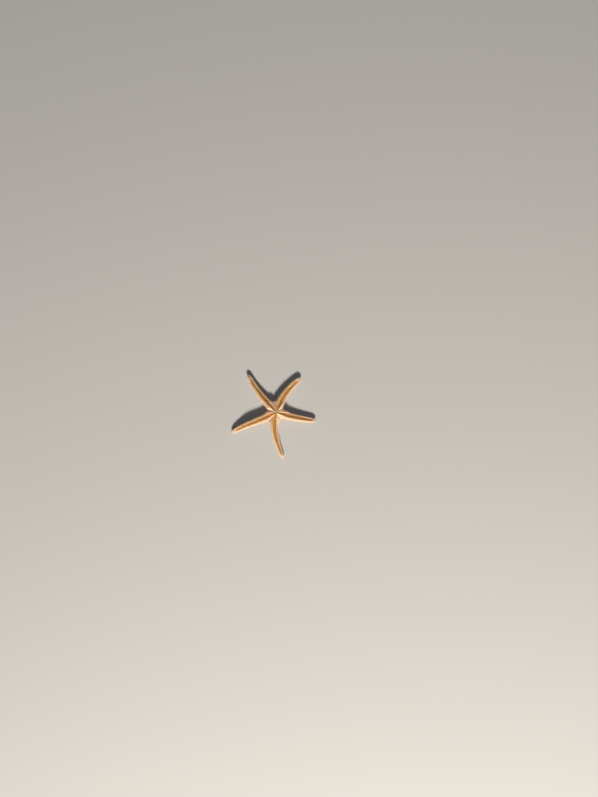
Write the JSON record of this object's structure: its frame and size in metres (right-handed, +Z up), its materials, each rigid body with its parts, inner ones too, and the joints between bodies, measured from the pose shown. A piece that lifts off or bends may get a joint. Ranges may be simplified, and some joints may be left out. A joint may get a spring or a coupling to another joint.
{
  "type": "starfish",
  "caption": "Common orange starfish lying on its back, mouth side up, with five slim bent arms, each with an open groove down its length.",
  "frame": {"origin": "on the floor, at the middle of the small flat under the disc, right under the mouth", "axes": "+Z up, out of the mouth side, which lies uppermost; -Y towards the front arm; +X towards the right arm"},
  "size_m": [0.0859, 0.0858, 0.0081],
  "materials": {
    "skin": "moist, granular, cream to orange",
    "spines": "matt, chalky, pale cream",
    "tube_feet": "soft, moist, amber",
    "madreporite": "matt, finely furrowed",
    "eyespot": "smooth, wet"
  },
  "bodies": {
    "root": {"disc": "skin", "mouth": "skin", "madreporite": "madreporite", "arm_front": "skin", "arm_right": "skin", "arm_back_right": "skin", "arm_back_left": "skin", "arm_left": "skin", "eye_front": "eyespot", "eye_right": "eyespot", "eye_back_right": "eyespot", "eye_back_left": "eyespot", "eye_left": "eyespot"}
  },
  "joints": []
}
